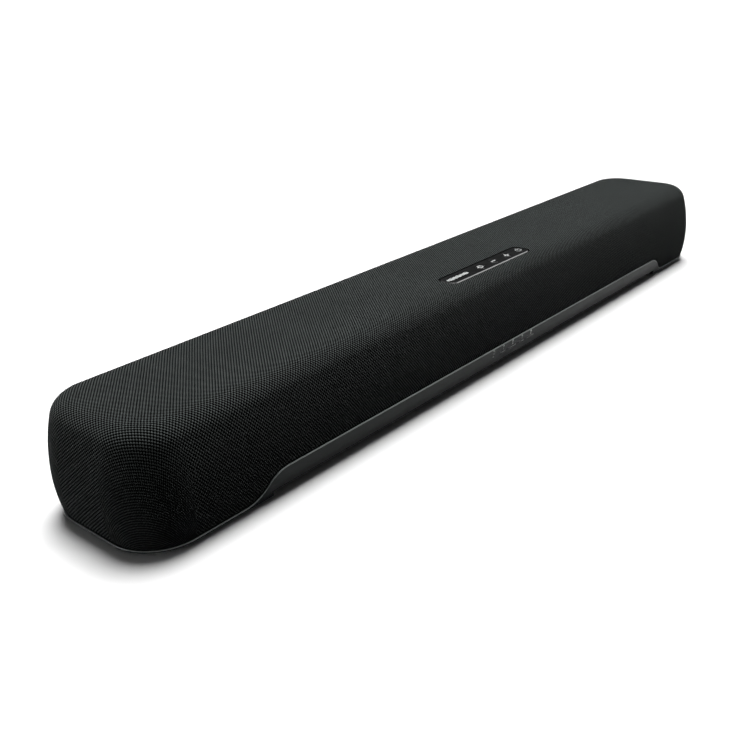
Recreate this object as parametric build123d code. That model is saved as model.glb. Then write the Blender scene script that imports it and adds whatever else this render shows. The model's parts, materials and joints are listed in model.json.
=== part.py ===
from build123d import *
import math
import os

# Compact one-piece soundbar, modelled in millimetres.
#
# Frame: +Z up, +X to the listener's right, the front faces -Y. The origin is under the middle of the
# bar, on the surface that its feet stand on.
#
# The bar is a long rounded loaf. Every wall of the loaf is the same edge profile carried round a
# rounded rectangle, so each shell is one call to loaf() with its own inset from the outer cloth.

# ---------------------------------------------------------------- driving dimensions
LENGTH = 600.0
DEPTH = 94.0
HEIGHT = 64.0
PLAN_CORNER = 30.0  # radius of the vertical corners at the widest level

# edge profile: a lower sweep, a gently leaning wall, a tight shoulder and a shallow crown
WIDEST_Z = 24.0
LOWER_SWEEP_R = 80.0
WALL_R = 110.0
SHOULDER_R = 12.0
CROWN_R = 65.0
CROWN_RUN = 23.0  # how far in from the side the flat top begins

CLOTH = 1.0
UPPER_WALL = 2.2
SKIRT_GAP = 0.2
SKIRT_WALL = 2.0
STRIP_PROUD = 0.35  # the plastic stands this far out of the cloth
FLOOR_Z = 2.0
FLOOR_WALL = 2.4
SKIRT_TOP_Z = 17.5

RIM_Z = 3.2  # the cloth's lower edge at the ends and the back
STRIP_Z = 16.2  # the cloth's lower edge along the middle of the front
STRIP_HALF = 210.0  # half length of the full-height strip
STRIP_RUN = 29.0  # length over which the edge falls from STRIP_Z to RIM_Z
CHIN_Z = 6.3  # crease where the strip turns under
CHIN_DEPTH = 7.0
CHIN_HALF = 226.0

PANEL_LENGTH = 90.0
PANEL_DEPTH = 13.6
PANEL_Y = -24.5
PANEL_CORNER = 4.0
PANEL_BEVEL = 0.6
PANEL_PLATE = 1.5
PANEL_SKIRT_Z = 59.6
PANEL_SKIRT = 0.8
KEY_X = (-7.4, 8.6, 24.6, 39.6)
KEY_NAMES = ("input_key", "volume_down_key", "volume_up_key", "power_key")
KEY_R = 3.4
KEY_FLANGE_R = 3.9
KEY_GAP = 0.25
KEY_TRAVEL = 0.5
KEY_FLANGE_Z = 61.7
CONTROL_BOARD_Z = 56.0
BOARD_THICK = 1.6
SWITCH = (6.0, 6.0, 2.4)
STEM_R = 1.6

LENS_PITCH = 11.3
LENS_COUNT = 5
LENS_R = 0.8
LENS_Z = 14.9

REAR_LENGTH = 470.0
BAY_PANEL_HALF = 88.0  # the middle of the back is a moulding of its own
REAR_HEIGHT = 36.0
REAR_Z = 30.0
REAR_FACE_Y = 44.2
REAR_PLATE = 2.4
REAR_CORNER = 8.0
REAR_GAP = 0.4
REAR_LEDGE = 4.0
BAY_LENGTH = 150.0
BAY_LOW_Z = 14.8
BAY_HIGH_Z = 41.0
BAY_FLOOR_Y = 28.0
BAY_WALL = 1.6
BAY_CORNER = 4.0
HOOK_X = 206.0
HOOK_HEAD_R = 4.5
HOOK_SLOT_R = 2.3
HOOK_RISE = 8.0
HOOK_DEPTH = 7.0
HOOK_STEEL = 1.0
REAR_SCREW_R = 1.2
REAR_SCREW_HEAD_R = 2.3
REAR_SCREW_SUNK = 1.2  # the head sits this far down in the panel
REAR_SCREW_END_Y = 36.0
REAR_SCREW_LOW_Z = REAR_Z - REAR_HEIGHT / 2 + 3.2
REAR_SCREW_HIGH_Z = REAR_Z + REAR_HEIGHT / 2 - 3.2
REAR_SCREW_PLACES = [(x, z) for x in (-150.0, 150.0) for z in (REAR_SCREW_LOW_Z, REAR_SCREW_HIGH_Z)]
REAR_SCREW_PLACES.append((0.0, REAR_SCREW_HIGH_Z))

BOARD_TOP_Z = 16.4
BOARD_REAR_Y = 26.0
POWER_BOARD_LOW_Z = 11.0
POWER_TOP_Z = POWER_BOARD_LOW_Z + BOARD_THICK
BOARD_FIXINGS = [(x, y, BOARD_TOP_Z) for x, y in ((-34, 22), (64, 22), (64, -26), (0, -27))]
BOARD_FIXINGS += [(x, y, POWER_TOP_Z) for x, y in ((-142, -31), (-45, -31), (-142, 4.5), (-45, 4.5))]
BOARD_POST_R = 2.4
BOARD_SCREW_R = 2.2
RIBBON_X = 10.0
RIBBON_THICK = 0.4
RIBBON_HALF = 5.0
INLET_X = -52.0
HDMI_X = -22.0
OPTICAL_X = {"left": 4.0, "right": 26.0}
AUX_X = 52.0
SOCKET_BACK_Y = 12.0
SOCKET_FACE_Y = 28.4
AUX_R = 1.8
AUX_COLLAR_R = 3.4
INLET_Z = 27.0
INLET_HALF = (10.5, 7.0)
INLET_BACK_Y = 8.0
INLET_MOUTH_R = 4.2
INLET_MOUTH_Y = 13.0  # depth of the mouth's floor
INLET_PITCH = 8.6
INLET_PIN_R = 1.2
HDMI_HALF = 7.6
HDMI_HEIGHT = 6.0
OPTICAL_HALF = 5.0
OPTICAL_HEIGHT = 10.4
OPTICAL_PORT_HALF = 3.5
AUX_HALF = 4.5
AUX_HEIGHT = 9.0
SHUTTER = (6.6, 1.0, 6.6)

DRIVER_X = 244.0
DRIVER_Z = 33.0
DRIVER_PAD_Y = -37.0
WOOFER_X = 105.0
RADIATOR_X = 195.0
TOP_PAD_Z = 56.5
TOP_SLOT = 46.0
GASKET = 1.0
FRONT_UNITS = {"left_driver": -DRIVER_X, "right_driver": DRIVER_X}
TOP_UNITS = {"woofer": WOOFER_X, "left_radiator": -RADIATOR_X, "right_radiator": RADIATOR_X}
UNIT_SCREWS = 4
SCREW_R = 0.7
SCREW_HEAD_R = 1.2
SCREW_HOLE_R = 0.75
FLANGE = 1.6
PLATE = 2.5
SHEET = 0.6
LIP = 1.6
COIL_GAP = 0.5
SURROUND = 0.5  # rubber thickness of the roll
SPIDER_RISE = 1.2  # the damper lies on the floor of the basket, below the cone at full travel

FOOT_R = 7.0
FOOT_X = 240.0
FOOT_Y = 27.0
BASE_SCREWS = ((-286, 20), (286, 20), (-150, -30), (150, -30), (-150, 30), (150, 30), (-60, -36), (60, -36))
COLUMN_R = 3.6
SCREW_BODY_R = 1.4
BASE_HEAD_R = 2.8
BASE_WELL_R = 3.2
BASE_WELL_Z = FLOOR_Z + 3.4  # floor of the well that hides each screw's head
POST_R = 5.0
POST_TOP_Z = 9.0
CAVITY_LOW_Z = 0.5  # shells start this low, so that the cut along the cloth's edge trims them

FAR = 400.0  # larger than the bar, for cutting tools


# ---------------------------------------------------------------- the loaf
def shoulder_centre():
    """Centre of the shoulder arc as (run in from the side, height), tangent to the wall and crown arcs."""
    crown = Vector(CROWN_RUN, HEIGHT - CROWN_R)
    wall = Vector(WALL_R, WIDEST_Z)
    to_crown, to_wall = CROWN_R - SHOULDER_R, WALL_R - SHOULDER_R
    apart = (wall - crown).length
    along = (to_crown**2 - to_wall**2 + apart**2) / (2 * apart)
    aside = math.sqrt(to_crown**2 - along**2)
    unit = (wall - crown) / apart
    return crown + unit * along + Vector(-unit.Y, unit.X) * aside


def side_run(z, inset=0.0):
    """How far the surface at height z lies in from the bar's widest line."""
    if z <= WIDEST_Z:
        radius, centre_run, centre_z = LOWER_SWEEP_R, LOWER_SWEEP_R, WIDEST_Z
    else:
        radius, centre_run, centre_z = WALL_R, WALL_R, WIDEST_Z
    return centre_run - math.sqrt((radius - inset) ** 2 - (z - centre_z) ** 2)


def edge_profile(inset, z_low):
    """Half section of the loaf: X is the distance out from the corner axis, Y is the height."""
    shoulder = shoulder_centre()
    crown = Vector(CROWN_RUN, HEIGHT - CROWN_R)
    wall = Vector(WALL_R, WIDEST_Z)
    toward_wall = (shoulder - wall).normalized()
    toward_crown = (shoulder - crown).normalized()

    def out(point):
        return (PLAN_CORNER - point.X, point.Y)

    def on(centre, radius, direction):
        return out(centre + direction * (radius - inset))

    def middle(first, second):
        return (first + second).normalized()

    left = Vector(-1, 0)
    low = Vector(side_run(z_low, inset), z_low)
    sweep = Vector(LOWER_SWEEP_R, WIDEST_Z)
    toward_low = (low - sweep).normalized()
    widest = on(sweep, LOWER_SWEEP_R, left)
    wall_end = on(wall, WALL_R, toward_wall)
    shoulder_end = on(crown, CROWN_R, toward_crown)
    flat = on(crown, CROWN_R, Vector(0, 1))
    with BuildSketch() as section:
        with BuildLine():
            Line((0, z_low), out(low))
            ThreePointArc(out(low), on(sweep, LOWER_SWEEP_R, middle(toward_low, left)), widest)
            ThreePointArc(widest, on(wall, WALL_R, middle(left, toward_wall)), wall_end)
            ThreePointArc(
                wall_end, on(shoulder, SHOULDER_R, middle(toward_wall, toward_crown)), shoulder_end
            )
            ThreePointArc(shoulder_end, on(crown, CROWN_R, middle(toward_crown, Vector(0, 1))), flat)
            Line(flat, (0, flat[1]))
            Line((0, flat[1]), (0, z_low))
        make_face()
    return section.sketch


def loaf(inset, z_low=FLOOR_Z):
    """The solid loaf, its walls and top moved in by inset from the cloth's outer face."""
    profile = edge_profile(inset, z_low)
    half_x, half_y = LENGTH / 2 - PLAN_CORNER, DEPTH / 2 - PLAN_CORNER
    top_z = HEIGHT - inset
    quarter = revolve(Plane.XZ * profile, Axis.Z, 90)
    along_x = extrude(Plane.YZ * profile, half_x, both=True)
    along_y = extrude(Plane.XZ * profile, half_y, both=True)
    body = Pos(0, 0, (z_low + top_z) / 2) * Box(2 * half_x, 2 * half_y, top_z - z_low)
    for sign in (1, -1):
        body += Pos(0, half_y * sign, 0) * (along_x if sign > 0 else along_x.mirror(Plane.XZ))
        body += Pos(half_x * sign, 0, 0) * (along_y if sign > 0 else along_y.mirror(Plane.YZ))
    for turn, x, y in ((0, 1, 1), (90, -1, 1), (180, -1, -1), (270, 1, -1)):
        body += Pos(half_x * x, half_y * y, 0) * Rot(0, 0, turn) * quarter
    return body


def slab(z_low, z_high):
    return Pos(0, 0, (z_low + z_high) / 2) * Box(2 * FAR, 2 * FAR, z_high - z_low)


def below_cloth_edge():
    """Everything under the line where the cloth ends: level at the rim, higher along the front strip."""
    rise = STRIP_Z - RIM_Z
    half_run = STRIP_RUN / 2
    radius = (STRIP_RUN**2 + rise**2) / (4 * rise)
    turn = math.asin(half_run / radius) / 2
    high_x, low_x, mid = STRIP_HALF, STRIP_HALF + STRIP_RUN, (STRIP_HALF + half_run, RIM_Z + rise / 2)
    high_arc = (high_x + radius * math.sin(turn), STRIP_Z - radius * (1 - math.cos(turn)))
    low_arc = (low_x - radius * math.sin(turn), RIM_Z + radius * (1 - math.cos(turn)))
    with BuildSketch(Plane.XZ) as front:
        with BuildLine():
            Line((0, -FAR), (0, STRIP_Z))
            Line((0, STRIP_Z), (high_x, STRIP_Z))
            ThreePointArc((high_x, STRIP_Z), high_arc, mid)
            ThreePointArc(mid, low_arc, (low_x, RIM_Z))
            Line((low_x, RIM_Z), (FAR, RIM_Z))
            Line((FAR, RIM_Z), (FAR, -FAR))
            Line((FAR, -FAR), (0, -FAR))
        make_face()
        mirror(about=Plane.YZ)
    return extrude(front.sketch, FAR) + slab(-FAR, RIM_Z)


def rounded_block(length, depth, z_low, z_high, corner, x=0.0, y=0.0):
    return extrude(Pos(x, y, z_low) * RectangleRounded(length, depth, corner), z_high - z_low)


def rear_block(length, z_low, z_high, y_low, y_high, corner, x=0.0):
    """A rounded block whose outline faces the back."""
    outline = Plane((x, y_low, (z_low + z_high) / 2), x_dir=(-1, 0, 0), z_dir=(0, 1, 0))
    return extrude(outline * RectangleRounded(length, z_high - z_low, corner), y_high - y_low)


def post(radius, z_low, z_high, x=0.0, y=0.0):
    return Pos(x, y, (z_low + z_high) / 2) * Cylinder(radius, z_high - z_low)


def along_y(radius, y_low, y_high, x, z):
    return Pos(x, (y_low + y_high) / 2, z) * Rot(90, 0, 0) * Cylinder(radius, y_high - y_low)


def block(x_low, x_high, y_low, y_high, z_low, z_high):
    middle = Pos((x_low + x_high) / 2, (y_low + y_high) / 2, (z_low + z_high) / 2)
    return middle * Box(x_high - x_low, y_high - y_low, z_high - z_low)


def group(*solids):
    return Compound(children=[s for part in solids for s in part.solids()])


# ---------------------------------------------------------------- loudspeaker units
class Unit:
    """Sizes of one loudspeaker. Local +Z is the way it faces, and Z 0 is the front of its flange."""

    def __init__(
        self, flange, outer, inner, coil, cone_depth, basket, plate, magnet, magnet_height, stroke
    ):
        self.flange = flange  # radii
        self.outer = outer
        self.inner = inner
        self.coil = coil
        self.plate = plate
        self.magnet = magnet
        self.cone_depth = cone_depth  # heights
        self.basket = basket
        self.magnet_height = magnet_height
        self.stroke = stroke
        self.roll = (outer - inner) / 2


FULL_RANGE = Unit(25.0, 21.0, 17.0, 6.5, 7.5, 13.0, 13.5, 14.5, 7.0, 2.0)
WOOFER = Unit(37.5, 33.0, 26.0, 12.5, 12.0, 19.0, 25.0, 27.0, 11.0, 3.5)


def ring(outer, inner, z_low, z_high):
    return post(outer, z_low, z_high) - post(inner, z_low - 1, z_high + 1)


def unit_frame(unit):
    """Pressed basket: flange, a cone of ribs and a seat for the motor."""
    low = -unit.basket
    with BuildSketch(Plane.XZ) as wall:
        Polygon(
            (unit.outer + 0.6, 0),
            (unit.flange, 0),
            (unit.flange, -FLANGE),
            (unit.outer + 1.2, -FLANGE),
            (unit.plate, low),
            (unit.coil + 2.5, low),
            (unit.coil + 2.5, low + 1.2),
            (unit.plate - 1.4, low + 1.2),
            align=None,
        )
    basket = revolve(wall.sketch, Axis.Z, 360)
    middle_z = (low - FLANGE) / 2
    window = Box(2 * unit.flange, unit.plate * 0.55, unit.basket - FLANGE - 4.0)
    for turn in (0, 60, 120):
        basket -= Pos(0, 0, middle_z) * Rot(0, 0, turn) * window
    return basket


def unit_yoke(unit):
    """Front plate, and back plate with its pole."""
    low = -unit.basket
    front = ring(unit.plate, unit.coil + 0.4 + COIL_GAP, low - PLATE, low)
    back_z = low - PLATE - unit.magnet_height
    back = post(unit.magnet - 1, back_z - PLATE, back_z)
    pole = post(unit.coil - 0.2 - COIL_GAP, back_z, low)
    return group(front, back + pole)


def unit_magnet(unit):
    top = -unit.basket - PLATE
    return ring(unit.magnet, unit.coil + 3.0, top - unit.magnet_height, top)


def unit_cone(unit):
    """Paper cone with its edge lip, coil former and domed cap, which all move together."""
    inner, coil, deep = unit.inner, unit.coil, -unit.cone_depth
    former_low = -unit.basket - PLATE - 0.5
    with BuildSketch(Plane.XZ) as wall:
        Polygon(
            (inner - LIP, 0),
            (inner, 0),
            (inner, -SHEET),
            (inner - LIP + 0.3, -SHEET),
            (coil + 0.4, deep - SHEET),
            (coil + 0.4, former_low),
            (coil - 0.2, former_low),
            (coil - 0.2, deep),
            (coil + 0.4, deep),
            align=None,
        )
    rise = coil * 0.35
    dome_r = ((coil + 0.2) ** 2 + rise**2) / (2 * rise)
    dome = Pos(0, 0, deep + rise - dome_r) * (Sphere(dome_r) - Sphere(dome_r - SHEET))
    cap = dome & post(coil + 0.2, deep - SHEET / 2, deep + rise + 1)
    return revolve(wall.sketch, Axis.Z, 360) + cap


def unit_surround(unit):
    """Half-roll rubber edge with a lip at each side."""
    centre, roll = (unit.outer + unit.inner) / 2, unit.roll
    thin = SURROUND
    with BuildSketch(Plane.XZ) as wall:
        with BuildLine():
            Line((unit.inner - LIP, 0), (unit.inner - LIP, thin))
            Line((unit.inner - LIP, thin), (unit.inner, thin))
            ThreePointArc((unit.inner, thin), (centre, roll), (unit.outer, thin))
            Line((unit.outer, thin), (unit.outer + LIP, thin))
            Line((unit.outer + LIP, thin), (unit.outer + LIP, 0))
            Line((unit.outer + LIP, 0), (unit.outer - thin, 0))
            ThreePointArc((unit.outer - thin, 0), (centre, roll - thin), (unit.inner + thin, 0))
            Line((unit.inner + thin, 0), (unit.inner - LIP, 0))
        make_face()
    return revolve(wall.sketch, Axis.Z, 360)


def unit_spider(unit):
    """Flat damper between the coil former and the basket."""
    z = -unit.basket + SPIDER_RISE
    return ring(unit.plate - 1.5, unit.coil + 0.4, z, z + 0.5)


def radiator_frame(unit):
    flange = ring(unit.flange, unit.outer + 0.6, -FLANGE, 0)
    return flange + ring(unit.outer + 1.8, unit.outer + 0.6, -6.0, -FLANGE)


def radiator_plate(unit):
    """Weighted flat diaphragm with no motor."""
    return post(unit.inner, -2.0, 0) + post(unit.inner * 0.5, -7.0, -2.0)


def unit_gasket(unit):
    return ring(unit.flange, unit.outer + LIP + 0.3, 0, GASKET)


def unit_screws(unit, count, length):
    """Screws through the flange and gasket into the pad."""
    made = []
    for x, y in screw_places(unit, count):
        made.append(post(SCREW_R, -FLANGE, length, x, y) + post(SCREW_HEAD_R, -FLANGE - 1.0, -FLANGE, x, y))
    return made


def screw_places(unit, count):
    reach = (unit.flange + unit.outer + LIP) / 2 + 0.1
    angles = [math.radians(45 + 360 * i / count) for i in range(count)]
    return [(reach * math.cos(a), reach * math.sin(a)) for a in angles]


def drilled(shape, unit, count, z_low, z_high):
    for x, y in screw_places(unit, count):
        shape -= post(SCREW_HOLE_R, z_low, z_high, x, y)
    return shape


def faced_front(x):
    """Where a unit that faces the listener stands."""
    return Location((x, DRIVER_PAD_Y + GASKET, DRIVER_Z), (90, 0, 0))


def faced_up(x):
    return Location((x, 0, TOP_PAD_Z - GASKET))


def loudspeakers():
    nodes, gaskets, screws = {}, [], []
    for name, x in FRONT_UNITS.items():
        place = faced_front(x)
        nodes[name + "_frame"] = place * drilled(unit_frame(FULL_RANGE), FULL_RANGE, UNIT_SCREWS, -3, 1)
        nodes[name + "_yoke"] = place * unit_yoke(FULL_RANGE)
        nodes[name + "_magnet"] = place * unit_magnet(FULL_RANGE)
        nodes[name + "_cone"] = place * unit_cone(FULL_RANGE)
        nodes[name + "_surround"] = place * unit_surround(FULL_RANGE)
        gaskets.append(place * drilled(unit_gasket(FULL_RANGE), FULL_RANGE, UNIT_SCREWS, -1, 2))
        screws += [place * s for s in unit_screws(FULL_RANGE, UNIT_SCREWS, 3.0)]
    for name, x in TOP_UNITS.items():
        place = faced_up(x)
        if name == "woofer":
            nodes[name + "_frame"] = place * drilled(unit_frame(WOOFER), WOOFER, UNIT_SCREWS, -3, 1)
            nodes[name + "_yoke"] = place * unit_yoke(WOOFER)
            nodes[name + "_magnet"] = place * unit_magnet(WOOFER)
            nodes[name + "_cone"] = place * unit_cone(WOOFER)
            nodes[name + "_spider"] = place * unit_spider(WOOFER)
        else:
            nodes[name + "_frame"] = place * drilled(radiator_frame(WOOFER), WOOFER, UNIT_SCREWS, -3, 1)
            nodes[name + "_plate"] = place * radiator_plate(WOOFER)
        nodes[name + "_surround"] = place * unit_surround(WOOFER)
        gaskets.append(place * drilled(unit_gasket(WOOFER), WOOFER, UNIT_SCREWS, -1, 2))
        screws += [place * s for s in unit_screws(WOOFER, UNIT_SCREWS, 3.0)]
    nodes["unit_gaskets"] = group(*gaskets)
    nodes["unit_screws"] = group(*screws)
    return nodes


# ---------------------------------------------------------------- shells
def rear_window(gap):
    """The opening in the back for the rear panel."""
    return rear_block(
        REAR_LENGTH + 2 * gap,
        REAR_Z - REAR_HEIGHT / 2 - gap,
        REAR_Z + REAR_HEIGHT / 2 + gap,
        REAR_FACE_Y - REAR_PLATE,
        DEPTH,
        REAR_CORNER + gap,
    )


def panel_window(gap, z_low):
    return rounded_block(
        PANEL_LENGTH + 2 * gap, PANEL_DEPTH + 2 * gap, z_low, HEIGHT + 5, PANEL_CORNER + gap, 0, PANEL_Y
    )


def fabric_cover(outer, edge):
    cover = outer - loaf(CLOTH, CAVITY_LOW_Z) - edge
    return cover - rear_window(REAR_GAP) - panel_window(0.15, PANEL_SKIRT_Z)


def sound_slots():
    """Slots through the upper shell in front of each unit."""
    cuts = []
    for x in TOP_UNITS.values():
        for i in range(-3, 4):
            cuts.append(rounded_block(4.0, TOP_SLOT, TOP_PAD_Z, HEIGHT + 1, 1.9, x + 8.0 * i))
    for x in FRONT_UNITS.values():
        for i in range(-2, 3):
            mid_x, half_z = x + 6.5 * i, math.sqrt(18.0**2 - (6.5 * i) ** 2)
            cuts.append(
                block(mid_x - 1.6, mid_x + 1.6, -DEPTH, DRIVER_PAD_Y, DRIVER_Z - half_z, DRIVER_Z + half_z)
            )
    return cuts


def upper_cabinet(edge):
    under_cloth = loaf(CLOTH, CAVITY_LOW_Z)
    inner = loaf(CLOTH + UPPER_WALL, CAVITY_LOW_Z)
    shell = under_cloth - inner
    for x in FRONT_UNITS.values():
        pad = along_y(FULL_RANGE.flange + 0.8, -DEPTH / 2, DRIVER_PAD_Y, x, DRIVER_Z) & inner
        pad -= along_y(FULL_RANGE.outer, -DEPTH, DEPTH, x, DRIVER_Z)
        for hx, hy in screw_places(FULL_RANGE, UNIT_SCREWS):
            pad -= along_y(SCREW_HOLE_R, DRIVER_PAD_Y - 2.5, DRIVER_PAD_Y + 1, x + hx, DRIVER_Z + hy)
        shell += pad
    for x in TOP_UNITS.values():
        pad = post(WOOFER.flange + 0.6, TOP_PAD_Z, HEIGHT, x) & inner
        pad -= post(WOOFER.outer, TOP_PAD_Z - 1, HEIGHT, x)
        for hx, hy in screw_places(WOOFER, UNIT_SCREWS):
            pad -= post(SCREW_HOLE_R, TOP_PAD_Z - 1, TOP_PAD_Z + 2.5, x + hx, hy)
        shell += pad
    low, high = REAR_Z - REAR_HEIGHT / 2 - REAR_LEDGE, REAR_Z + REAR_HEIGHT / 2 + REAR_LEDGE
    ledge_y = REAR_FACE_Y - REAR_PLATE - REAR_GAP
    wide, narrow = REAR_LENGTH + 2 * REAR_LEDGE, REAR_LENGTH - 2 * REAR_LEDGE
    ledge = rear_block(wide, low, high, ledge_y - 2.0, ledge_y, REAR_CORNER)
    ledge -= rear_block(narrow, low + 8, high - 8, 0, DEPTH, REAR_CORNER)
    rim = rear_block(wide, low, high, ledge_y - 2.0, DEPTH, REAR_CORNER)
    rim -= rear_window(REAR_GAP)
    rim -= rear_block(REAR_LENGTH, low + 2, high - 2, 0, DEPTH, REAR_CORNER)
    shell += (ledge + rim) & inner
    for x, y in BASE_SCREWS:
        column = post(COLUMN_R, POST_TOP_Z + 0.1, HEIGHT, x, y) & inner
        shell += column - post(SCREW_BODY_R + 0.05, 0, POST_TOP_Z + 14, x, y)
    shell -= rear_window(REAR_GAP)
    shell -= panel_window(0.15, PANEL_SKIRT_Z - 1)
    shell -= rear_clearance()
    for cut in sound_slots():
        shell -= cut
    return shell - edge - slab(-FAR, 0) - skirt_solid(SKIRT_GAP)


def rear_clearance():
    """Room in the shells for what the rear panel carries: its bay, hook pockets and screws."""
    room = rear_block(
        BAY_LENGTH + 2 * BAY_WALL + 1,
        BAY_LOW_Z - BAY_WALL - 0.5,
        BAY_HIGH_Z + BAY_WALL + 0.5,
        BAY_FLOOR_Y - BAY_WALL - 0.5,
        REAR_FACE_Y - REAR_PLATE,
        BAY_CORNER + BAY_WALL + 0.5,
    )
    for x in (-HOOK_X, HOOK_X):
        room += hook_pocket(x, 2.1)
    for x, z in REAR_SCREW_PLACES:
        room += along_y(REAR_SCREW_R + 0.05, REAR_SCREW_END_Y - 6, REAR_FACE_Y, x, z)
    return room


def skirt_solid(gap):
    """The wall of the base that rises inside the upper shell."""
    outer = CLOTH + UPPER_WALL + SKIRT_GAP
    wall = loaf(outer - gap, CAVITY_LOW_Z) - loaf(outer + SKIRT_WALL + gap, CAVITY_LOW_Z - 0.1)
    return wall - slab(SKIRT_TOP_Z + gap, FAR)


def lower_cabinet(edge):
    visible = (loaf(-STRIP_PROUD, FLOOR_Z) & edge) - slab(STRIP_Z, FAR)
    inside = loaf(CLOTH + UPPER_WALL + SKIRT_GAP, FLOOR_Z) - slab(SKIRT_TOP_Z, FAR)
    cavity = loaf(CLOTH + UPPER_WALL + SKIRT_GAP + SKIRT_WALL, FLOOR_Z + FLOOR_WALL)
    base = visible + inside - cavity
    for x, y in BASE_SCREWS:
        base += post(POST_R, FLOOR_Z, POST_TOP_Z, x, y) & loaf(CLOTH + UPPER_WALL + SKIRT_GAP, FLOOR_Z)
        base -= post(SCREW_BODY_R + 0.3, 0, POST_TOP_Z + 1, x, y)
        base -= post(BASE_WELL_R, 0, BASE_WELL_Z, x, y)
    for x, y, top in BOARD_FIXINGS:
        base += post(BOARD_POST_R, FLOOR_Z + 1, top - BOARD_THICK, x, y)
    for x in (-FOOT_X, FOOT_X):
        for y in (-FOOT_Y, FOOT_Y):
            base -= post(FOOT_R, 0, FLOOR_Z + 1.0, x, y)
    base -= chin()
    base -= rear_window(REAR_GAP)
    base -= rear_clearance()
    half = REAR_LENGTH / 2 + 5
    base -= block(-half, half, 34, DEPTH, REAR_Z - REAR_HEIGHT / 2 - REAR_GAP, FAR)
    for x in lens_places():
        base -= along_y(LENS_R + 0.05, -DEPTH, -30, x, LENS_Z)
    return base


def chin():
    """Undercut below the crease of the front strip."""
    front = -(DEPTH / 2 + 1)
    back = -(DEPTH / 2 - CHIN_DEPTH)
    out, top = front - 4, CHIN_Z + 0.6
    with BuildSketch(Plane.YZ) as wedge:
        Polygon((out, top), (front, top), (back, FLOOR_Z - 0.05), (out, 0), align=None)
    body = extrude(wedge.sketch, CHIN_HALF, both=True)
    for sign in (-1, 1):
        body -= Pos(sign * (CHIN_HALF + 6), front, CHIN_Z) * Rot(0, sign * 35, 0) * Box(16, 40, 60)
    return body


def lens_places():
    return [LENS_PITCH * (i - (LENS_COUNT - 1) / 2) for i in range(LENS_COUNT)]


def cabinet_seal():
    """Foam bead lying in the corner between the skirt's top and the upper shell."""
    outer = CLOTH + UPPER_WALL
    bead = loaf(outer, CAVITY_LOW_Z) - loaf(outer + 1.6, CAVITY_LOW_Z - 0.1)
    bead -= slab(-FAR, SKIRT_TOP_Z + 0.2) + slab(SKIRT_TOP_Z + 1.8, FAR)
    bead -= block(-250, 250, 20, 60, 0, FAR)
    for x in FRONT_UNITS.values():
        bead -= block(x - 27, x + 27, -60, -20, 0, FAR)
    return bead


# ---------------------------------------------------------------- top controls and indicators
def control_panel():
    plate = rounded_block(
        PANEL_LENGTH, PANEL_DEPTH, HEIGHT - PANEL_PLATE, HEIGHT, PANEL_CORNER, 0, PANEL_Y
    )
    plate = chamfer(plate.edges().group_by(Axis.Z)[-1], PANEL_BEVEL)
    length, depth, corner = PANEL_LENGTH - 1, PANEL_DEPTH - 1, PANEL_CORNER - 0.5
    skirt = rounded_block(length, depth, PANEL_SKIRT_Z, HEIGHT - PANEL_PLATE, corner, 0, PANEL_Y)
    length, depth, corner = length - 2 * PANEL_SKIRT, depth - 2 * PANEL_SKIRT, corner - PANEL_SKIRT
    skirt -= rounded_block(length, depth, 0, HEIGHT, corner, 0, PANEL_Y)
    panel = plate + skirt
    for x in KEY_X:
        panel -= post(KEY_R + KEY_GAP, 0, HEIGHT + 1, x, PANEL_Y)
    return panel


def key_cap(x):
    cap = post(KEY_R, KEY_FLANGE_Z, HEIGHT, x, PANEL_Y)
    cap = chamfer(cap.edges().group_by(Axis.Z)[-1], 0.2)
    flange = post(KEY_FLANGE_R, KEY_FLANGE_Z, KEY_FLANGE_Z + 0.6, x, PANEL_Y)
    switch_top = CONTROL_BOARD_Z + BOARD_THICK + SWITCH[2] + 0.6
    return cap + flange + post(STEM_R, switch_top + KEY_TRAVEL + 0.1, KEY_FLANGE_Z, x, PANEL_Y)


def key_switches():
    made = []
    z = CONTROL_BOARD_Z + BOARD_THICK
    for x in KEY_X:
        body = block(x - 3, x + 3, PANEL_Y - 3, PANEL_Y + 3, z, z + SWITCH[2])
        made.append(body + post(STEM_R, z + SWITCH[2], z + SWITCH[2] + 0.6, x, PANEL_Y))
    return group(*made)


def control_board():
    z = CONTROL_BOARD_Z
    return rounded_block(PANEL_LENGTH + 4, PANEL_DEPTH + 3, z, z + BOARD_THICK, 2.0, 0, PANEL_Y)


def indicator_parts():
    front = -(DEPTH / 2 - side_run(LENS_Z) + STRIP_PROUD)
    lenses = [along_y(LENS_R, front - 0.1, -40.2, x, LENS_Z) for x in lens_places()]
    leds = [block(x - 1, x + 1, -40.0, -39.0, LENS_Z - 1, LENS_Z + 1) for x in lens_places()]
    board = block(-30, 30, -39.0, -37.4, LENS_Z - 4, LENS_Z + 5)
    return {
        "indicator_lenses": group(*lenses),
        "indicator_lights": group(*leds),
        "indicator_board": board,
    }


# ---------------------------------------------------------------- rear panel and sockets
def bay_room():
    return rear_block(BAY_LENGTH, BAY_LOW_Z, BAY_HIGH_Z, BAY_FLOOR_Y, DEPTH, BAY_CORNER)


def keyhole(x, y_low, y_high):
    head_z = REAR_Z - HOOK_RISE / 2
    hole = along_y(HOOK_HEAD_R, y_low, y_high, x, head_z)
    hole += block(x - HOOK_SLOT_R, x + HOOK_SLOT_R, y_low, y_high, head_z, head_z + HOOK_RISE)
    return hole + along_y(HOOK_SLOT_R, y_low, y_high, x, head_z + HOOK_RISE)


def hook_pocket(x, wall):
    """Room behind a keyhole for the head of a wall screw."""
    half_x, half_z = HOOK_HEAD_R + 2 + wall, HOOK_RISE / 2 + HOOK_HEAD_R + 1.5 + wall
    front = REAR_FACE_Y - REAR_PLATE
    back = front - HOOK_DEPTH - wall
    return rear_block(2 * half_x, REAR_Z - half_z, REAR_Z + half_z, back, front, 2 + wall, x)


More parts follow.
